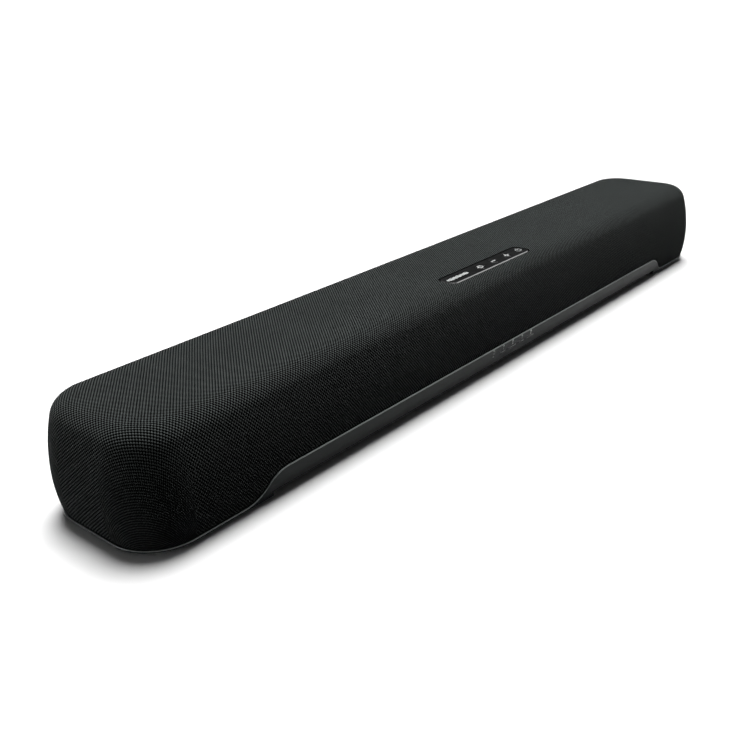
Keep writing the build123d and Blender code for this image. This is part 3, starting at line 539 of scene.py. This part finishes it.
def metal(name, color, rough, brushed=True):
    n = Nodes(name)
    stretch = (1.0, 12.0, 12.0) if brushed else (1.0, 1.0, 1.0)
    marks = n.noise(500.0, 3.0, 0.6, stretch)
    gloss = n.span(marks, 0.3, 0.7, rough - 0.07, rough + 0.07)
    tone = n.blend(marks, rgb(*[c * 0.85 for c in color]), rgb(*color))
    return n.set(color=tone, metal=1.0, rough=gloss, normal=n.bump(marks, 0.01 * MM, 0.5))


def paper(name, color):
    n = Nodes(name)
    fibres = n.noise(1400.0, 4.0, 0.7)
    tone = n.blend(fibres, rgb(*[c * 0.6 for c in color]), rgb(*[c * 1.3 for c in color]))
    return n.set(color=tone, rough=0.8, normal=n.bump(fibres, 0.05 * MM, 0.7))


def woven(name, color):
    n = Nodes(name)
    split = n.add("ShaderNodeSeparateXYZ")
    n.link(n.position, split.inputs[0])
    across = n.math("SINE", n.math("MULTIPLY", split.outputs[0], math.tau / (0.6 * MM)))
    along = n.math("SINE", n.math("MULTIPLY", split.outputs[1], math.tau / (0.6 * MM)))
    weave = n.span(n.math("MULTIPLY", across, along), -1.0, 1.0, 0.0, 1.0)
    tone = n.blend(weave, rgb(*[c * 0.6 for c in color]), rgb(*color))
    return n.set(color=tone, rough=0.85, normal=n.bump(weave, 0.1 * MM, 0.8))


def circuit_board(name, color):
    """Solder mask over faint copper tracks."""
    n = Nodes(name)
    bricks = n.add("ShaderNodeTexBrick")
    bricks.inputs["Scale"].default_value = 160.0
    bricks.inputs["Mortar Size"].default_value = 0.04
    n.link(n.position, bricks.inputs["Vector"])
    tone = n.blend(bricks.outputs["Fac"], rgb(*color), rgb(*[c * 1.8 for c in color]))
    speck = n.span(n.noise(700.0, 2.0), 0.62, 0.66, 0.0, 0.35)
    color = n.blend(speck, tone, rgb(0.5, 0.5, 0.48))
    return n.set(color=color, rough=0.35, normal=n.bump(speck, 0.05 * MM, 0.5))


def smoked_lens():
    n = Nodes("lens")
    haze = n.span(n.noise(900.0, 2.0), 0.3, 0.7, 0.12, 0.22)
    tone = n.blend(n.noise(400.0, 2.0), rgb(0.62, 0.65, 0.63), rgb(0.74, 0.77, 0.75))
    return n.set(color=tone, rough=haze, coat=0.5, coat_rough=0.05)


def print_ink(name, color):
    n = Nodes(name)
    cover = n.noise(1200.0, 2.0)
    tone = n.blend(cover, rgb(*[c * 0.85 for c in color]), rgb(*color))
    return n.set(color=tone, rough=0.55, normal=n.bump(cover, 0.01 * MM, 0.5))


def slot_materials():
    near_black = (0.003, 0.0034, 0.0034)
    base = (0.0070, 0.0105, 0.0100)
    polish = 0.005 * MM
    return {
        "cloth": knit_material(),
        "shell": plastic("shell", (0.012, 0.013, 0.013), 0.55),
        "base_plastic": plastic("base_plastic", base, 0.34, specular=0.11, round_edge=0.6 * MM),
        "rear_plastic": plastic("rear_plastic", (0.016, 0.018, 0.018), 0.45, 1200.0, 0.05 * MM),
        "panel_plastic": plastic("panel_plastic", near_black, 0.22, 2200.0, polish, round_edge=0.4 * MM),
        "key_plastic": plastic("key_plastic", near_black, 0.22, 2200.0, polish, round_edge=0.2 * MM),
        "rubber": plastic("rubber", (0.012, 0.012, 0.012), 0.8, 900.0, 0.06 * MM, specular=0.3),
        "foam": plastic("foam", (0.03, 0.03, 0.03), 0.95, 1500.0, 0.2 * MM, specular=0.1),
        "screw_steel": metal("screw_steel", (0.08, 0.08, 0.085), 0.4, brushed=False),
        "steel": metal("steel", (0.55, 0.55, 0.56), 0.35),
        "ferrite": plastic("ferrite", (0.02, 0.02, 0.022), 0.7, 600.0, 0.1 * MM),
        "frame_steel": plastic("frame_steel", (0.02, 0.02, 0.021), 0.4, 400.0, 0.03 * MM),
        "cone_paper": paper("cone_paper", (0.02, 0.02, 0.021)),
        "weight_plate": plastic("weight_plate", (0.02, 0.02, 0.022), 0.5),
        "spider_cloth": woven("spider_cloth", (0.40, 0.31, 0.16)),
        "board": circuit_board("board", (0.008, 0.06, 0.025)),
        "chip": plastic("chip", (0.01, 0.01, 0.01), 0.55, 1500.0, 0.03 * MM),
        "aluminium": metal("aluminium", (0.75, 0.75, 0.77), 0.4),
        "winding": plastic("winding", (0.55, 0.38, 0.05), 0.5),
        "can": plastic("can", (0.01, 0.012, 0.035), 0.3),
        "socket_plastic": plastic("socket_plastic", (0.008, 0.008, 0.009), 0.4),
        "lens": smoked_lens(),
        "led": plastic("led", (0.8, 0.78, 0.62), 0.3),
        "cable": plastic("cable", (0.6, 0.6, 0.59), 0.5),
    }


def dress_nodes(materials):
    """Each CAD node takes the material of its slot in the record."""
    for entry in frame["record"]["subparts"]:
        piece = frame["nodes"][entry["node"]]
        piece.data.materials.clear()
        piece.data.materials.append(materials[entry["material_slot"]])


# ---------------------------------------------------------------- printed marks
def ribbon(points, width):
    """Outline of a line of the given width through the points, as quads (a, b) per segment."""
    quads = []
    for (ax, ay), (bx, by) in zip(points, points[1:]):
        length = math.hypot(bx - ax, by - ay)
        tx, ty = (bx - ax) / length, (by - ay) / length
        sx, sy = -ty * width / 2, tx * width / 2
        ex, ey = tx * width * 0.2, ty * width * 0.2
        start, end = (ax - ex, ay - ey), (bx + ex, by + ey)
        quads.append(
            [
                (start[0] - sx, start[1] - sy),
                (end[0] - sx, end[1] - sy),
                (end[0] + sx, end[1] + sy),
                (start[0] + sx, start[1] + sy),
            ]
        )
    return quads


def arc_points(x, y, radius, start, end, steps=24):
    angles = [math.radians(start + (end - start) * k / steps) for k in range(steps + 1)]
    return [(x + radius * math.cos(a), y + radius * math.sin(a)) for a in angles]


def ink(name, quads, place, body, material):
    """Thin printed shapes: each quad is a small block that stands proud by the ink's thickness."""
    verts, faces = [], []
    for quad in quads:
        first = len(verts)
        for height in (-INK_SINK, INK_HEIGHT):
            verts += [place(a, b, height) for a, b in quad]
        faces.append([first + i for i in (3, 2, 1, 0)])
        faces.append([first + i for i in (4, 5, 6, 7)])
        for i in range(4):
            after = (i + 1) % 4
            faces.append([first + i, first + after, first + 4 + after, first + 4 + i])
    piece = new_mesh_object(name, verts, faces)
    turn_faces_outward(piece)
    piece.data.materials.append(material)
    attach(piece, body)
    return piece


def key_symbols():
    """Generic symbols: source select, less, more and stand-by, in millimetres about the key's middle."""
    line = SYMBOL_LINE
    tray = ribbon([(-0.6, 1.7), (2.4, 1.7), (2.4, -1.7), (-0.6, -1.7)], line)
    arrow = ribbon([(-2.5, 0), (0.9, 0)], line) + ribbon([(-0.1, -1.0), (0.9, 0), (-0.1, 1.0)], line)
    bar = ribbon([(-2.1, 0), (2.1, 0)], line * 1.3)
    return {
        "input_key": tray + arrow,
        "volume_down_key": bar,
        "volume_up_key": bar + ribbon([(0, -2.1), (0, 2.1)], line * 1.3),
        "power_key": ribbon(arc_points(0, 0, 2.1, 125, 415), line) + ribbon([(0, 0.5), (0, 2.7)], line),
    }


def printed_marks(ink_material, dim_ink):
    for node, quads in key_symbols().items():
        low, high = node_box(node)
        x, y, z = (low.x + high.x) / 2, (low.y + high.y) / 2, high.z
        place = lambda a, b, h: (x + a * MM, y + b * MM, z + h)
        ink(node + "_symbol", quads, place, BODY_OF[node], ink_material)
    sound_mark(ink_material)
    lens_labels(dim_ink)


def sound_mark(material):
    """A row of upright bars like a level meter, at the strip's left end."""
    heights = (2.0, 3.0, 3.6, 2.6, 3.4, 2.8, 3.6, 2.4, 3.2, 2.6, 3.4, 2.2)
    start, step, width = -42.6, 1.85, 1.15
    quads = []
    for i, tall in enumerate(heights):
        a = start + step * i
        quads.append([(a, -tall / 2), (a + width, -tall / 2), (a + width, tall / 2), (a, tall / 2)])
    y = (PANEL_LOW.y + PANEL_HIGH.y) / 2
    place = lambda a, b, h: (a * MM, y + b * MM, PANEL_HIGH.z + h)
    ink("level_mark", quads, place, HOUSING_BODY, material)


def wall_point(x, z, out):
    """A point on the front plastic strip, standing out from it."""
    inward = float(np.interp(-z, -HEIGHT, RUN_IN))
    return (x, -(HALF_Y - inward + STRIP_PROUD + out), z)


def lens_labels(material):
    """A blob under each light and a dash beneath it."""
    quads = []
    dashes = ((-0.5, 0.5), (-2.9, 2.6), (-4.4, 4.2), (-2.6, 2.8), (-4.2, 4.0))
    for i, (start, end) in enumerate(dashes):
        x = LENS_PITCH * (i - 2)
        quads += ribbon([(x, BLOB_Z - BLOB_HALF_HEIGHT), (x, BLOB_Z + BLOB_HALF_HEIGHT)], BLOB_WIDTH)
        quads += ribbon([(x + start, DASH_Z), (x + end, DASH_Z)], DASH_WIDTH)
    place = lambda a, b, h: wall_point(a * MM, b * MM, h)
    ink("light_labels", quads, place, HOUSING_BODY, material)


# ---------------------------------------------------------------- studio
def camera():
    yaw, pitch, roll = (math.radians(CAMERA[k]) for k in ("yaw", "pitch", "roll"))
    level_run = math.cos(pitch)
    back = Vector((math.sin(yaw) * level_run, -math.cos(yaw) * level_run, math.sin(pitch)))
    level = (-back).cross(Vector((0, 0, 1))).normalized()
    rise = level.cross(-back)
    right = level * math.cos(roll) + rise * math.sin(roll)
    up = rise * math.cos(roll) - level * math.sin(roll)
    place = (Vector(CAMERA["target"]) + back * CAMERA["distance"]) * MM
    data = bpy.data.cameras.new("camera")
    data.lens = FOCAL
    data.sensor_width = SENSOR
    data.clip_start = 0.01
    eye = bpy.data.objects.new("camera", data)
    turn = Matrix((right, up, back)).transposed().to_4x4()
    eye.matrix_world = Matrix.Translation(place) @ turn
    bpy.context.collection.objects.link(eye)
    bpy.context.scene.camera = eye


def sun(name, toward, softness, strength):
    """A soft light from far away. toward points from the object to the light."""
    data = bpy.data.lights.new(name, "SUN")
    data.angle = math.radians(softness)
    data.energy = strength
    light = bpy.data.objects.new(name, data)
    light.rotation_euler = Vector(toward).to_track_quat("Z", "Y").to_euler()
    bpy.context.collection.objects.link(light)


def card(name, toward, away, size, power):
    """A soft panel that shows only in glossy surfaces."""
    data = bpy.data.lights.new(name, "AREA")
    data.size = size
    data.energy = power
    light = bpy.data.objects.new(name, data)
    direction = Vector(toward).normalized()
    light.location = direction * away
    light.rotation_euler = direction.to_track_quat("Z", "Y").to_euler()
    light.visible_diffuse = False
    light.visible_camera = False
    bpy.context.collection.objects.link(light)


def overhead_glow(tree, glossy):
    """Light from high up that only reflections see, like a wide diffuser over the table."""
    direction = tree.nodes.new("ShaderNodeTexCoord").outputs["Generated"]
    split = tree.nodes.new("ShaderNodeSeparateXYZ")
    tree.links.new(direction, split.inputs[0])
    height = tree.nodes.new("ShaderNodeMapRange")
    for socket, value in zip(height.inputs[1:5], (GLOW_FROM, GLOW_FULL, 0.0, GLOW)):
        socket.default_value = value
    tree.links.new(split.outputs[2], height.inputs[0])
    shown = tree.nodes.new("ShaderNodeMath")
    shown.operation = "MULTIPLY_ADD"
    shown.inputs[2].default_value = FILL
    tree.links.new(height.outputs[0], shown.inputs[0])
    tree.links.new(glossy, shown.inputs[1])
    return shown.outputs[0]


def studio():
    half = FLOOR_SIZE / 2
    corners = [(-half, -half, 0), (half, -half, 0), (half, half, 0), (-half, half, 0)]
    floor = new_mesh_object("floor", corners, [[0, 1, 2, 3]])
    n = Nodes("floor")
    tone = n.blend(n.noise(3.0, 2.0), rgb(0.90, 0.90, 0.90), rgb(0.94, 0.94, 0.94))
    floor.data.materials.append(n.set(color=tone, rough=0.9, specular=0.0))
    floor.visible_diffuse = False

    world = bpy.data.worlds.new("studio")
    bpy.context.scene.world = world
    world.use_nodes = True
    tree = world.node_tree
    background = next(node for node in tree.nodes if node.type == "BACKGROUND")
    path = tree.nodes.new("ShaderNodeLightPath")
    mix = tree.nodes.new("ShaderNodeMix")
    mix.data_type = "RGBA"
    mix.inputs[7].default_value = (BACKDROP, BACKDROP, BACKDROP, 1)
    tree.links.new(path.outputs["Is Camera Ray"], mix.inputs[0])
    overhead = overhead_glow(tree, path.outputs["Is Glossy Ray"])
    tree.links.new(overhead, mix.inputs[6])
    tree.links.new(mix.outputs[2], background.inputs["Color"])
    background.inputs["Strength"].default_value = 1.0

    sun("key", *KEY_SUN)
    sun("side", *SIDE_SUN)
    card("edge_card", **EDGE_CARD)
    bpy.context.scene.view_settings.view_transform = "Standard"


# ---------------------------------------------------------------- build
camera()
materials = slot_materials()
dress_nodes(materials)
bead = lip_bead()
bead.data.materials.append(metal("lip", (0.125, 0.135, 0.132), 0.36, brushed=False))
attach(bead, HOUSING_BODY)
cover = fabric_cover()
cover.data.materials.clear()
cover.data.materials.append(materials["cloth"])
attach(cover, HOUSING_BODY)
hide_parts("fabric_cover")
printed_marks(print_ink("pale_ink", (0.62, 0.64, 0.63)), print_ink("dim_ink", (0.50, 0.52, 0.51)))
studio()
